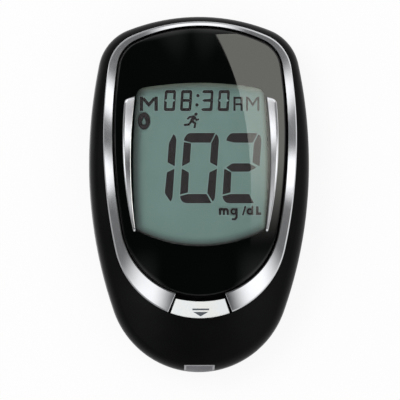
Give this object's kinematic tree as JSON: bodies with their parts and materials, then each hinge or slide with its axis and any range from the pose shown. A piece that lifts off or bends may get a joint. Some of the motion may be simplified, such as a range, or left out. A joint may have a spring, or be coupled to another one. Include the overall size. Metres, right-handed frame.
{
  "type": "blood glucose meter",
  "caption": "Palm-size blood glucose meter: egg-shaped black case, domed lens over a segment display, chrome bezel, strip port with a release button, keys in the top end",
  "frame": {"origin": "the middle of the case on the surface it lies on", "axes": "+X to the right of the display, +Y to the top of the display, +Z out of the display"},
  "size_m": [0.054, 0.0874, 0.0175],
  "materials": {
    "case_black": "satin moulded ABS, near black",
    "lens_clear": "polished clear acrylic",
    "print_black": "black ink printed behind the lens",
    "tape": "black double-sided tape",
    "satin_chrome": "satin chrome plating on plastic",
    "button_silver": "satin silver paint on plastic",
    "port_grey": "mid grey moulded plastic",
    "display_glass": "liquid crystal glass",
    "reflector_film": "grey-green reflective film",
    "holder_white": "white moulded plastic",
    "zebra_rubber": "layered conductive silicone",
    "board_green": "green solder mask",
    "chip_black": "moulded epoxy",
    "tin_shield": "tinned steel",
    "ceramic": "fired ceramic",
    "connector_ivory": "natural moulded nylon",
    "gold_contact": "gold-flashed spring contact",
    "key_rubber": "moulded silicone rubber",
    "cell_steel": "nickel-plated steel",
    "spring_steel": "nickel-plated spring steel",
    "lever_white": "white acetal",
    "screw_steel": "zinc-plated steel",
    "label": "silver-grey film label"
  },
  "bodies": {
    "meter": {"antenna": "ceramic", "bezel_ring": "satin_chrome", "board_screws": "screw_steel", "button_spring": "spring_steel", "buzzer": "chip_black", "case_screws": "screw_steel", "cell_contacts": "spring_steel", "coin_cell_lower": "cell_steel", "coin_cell_upper": "cell_steel", "crystal": "tin_shield", "display_lens": "lens_clear", "front_cover": "case_black", "key_switches": "chip_black", "lcd_front_glass": "display_glass", "lcd_holder": "holder_white", "lcd_rear_glass": "display_glass", "lcd_reflector": "reflector_film", "left_accent": "satin_chrome", "lens_gasket": "tape", "lens_mask": "print_black", "lever_pin": "spring_steel", "main_board": "board_green", "microcontroller": "chip_black", "passives": "ceramic", "port_lower_jaw": "port_grey", "port_upper_jaw": "port_grey", "radio_module": "tin_shield", "rear_cover": "case_black", "rear_label": "label", "right_accent": "satin_chrome", "strip_connector": "connector_ivory", "strip_contacts": "gold_contact", "zebra_connectors": "zebra_rubber"},
    "release_button": {"release_button": "button_silver"},
    "ejector_lever": {"ejector_lever": "lever_white"},
    "ejector_slide": {"ejector_slide": "lever_white"},
    "minus_key": {"minus_key": "key_rubber", "minus_plunger": "connector_ivory"},
    "set_key": {"set_key": "key_rubber", "set_plunger": "connector_ivory"},
    "plus_key": {"plus_key": "key_rubber", "plus_plunger": "connector_ivory"},
    "battery_door": {"battery_door": "case_black", "door_contact": "spring_steel"}
  },
  "joints": [
    {"name": "button_press", "type": "slide", "parent": "meter", "child": "release_button", "axis": [0, 0, -1], "range_m": [0, 0.0012], "stiffness_N_per_m": 900, "springref_m": -0.0008, "deforming": ["button_spring"]},
    {"name": "lever_turn", "type": "hinge", "parent": "meter", "child": "ejector_lever", "pos_m": [0, -0.03047, 0.0099], "axis": [-1, 0, 0], "range_deg": [0, 30]},
    {"name": "strip_push", "type": "slide", "parent": "meter", "child": "ejector_slide", "axis": [0, -1, 0], "range_m": [0, 0.00115]},
    {"name": "minus_press", "type": "slide", "parent": "meter", "child": "minus_key", "axis": [0, -1, 0], "range_m": [0, 0.0004], "stiffness_N_per_m": 2500, "springref_m": -0.0002},
    {"name": "set_press", "type": "slide", "parent": "meter", "child": "set_key", "axis": [0, -1, 0], "range_m": [0, 0.0004], "stiffness_N_per_m": 2500, "springref_m": -0.0002},
    {"name": "plus_press", "type": "slide", "parent": "meter", "child": "plus_key", "axis": [0, -1, 0], "range_m": [0, 0.0004], "stiffness_N_per_m": 2500, "springref_m": -0.0002},
    {"name": "door_swing", "type": "hinge", "parent": "meter", "child": "battery_door", "pos_m": [0, -0.01045, 0.00055], "axis": [-1, 0, 0], "range_deg": [0, 80]}
  ],
  "couplings": [
    {"joint": "lever_turn", "follows": "button_press", "rad_per_m": 434.88},
    {"joint": "strip_push", "follows": "button_press", "ratio": 0.9579}
  ]
}
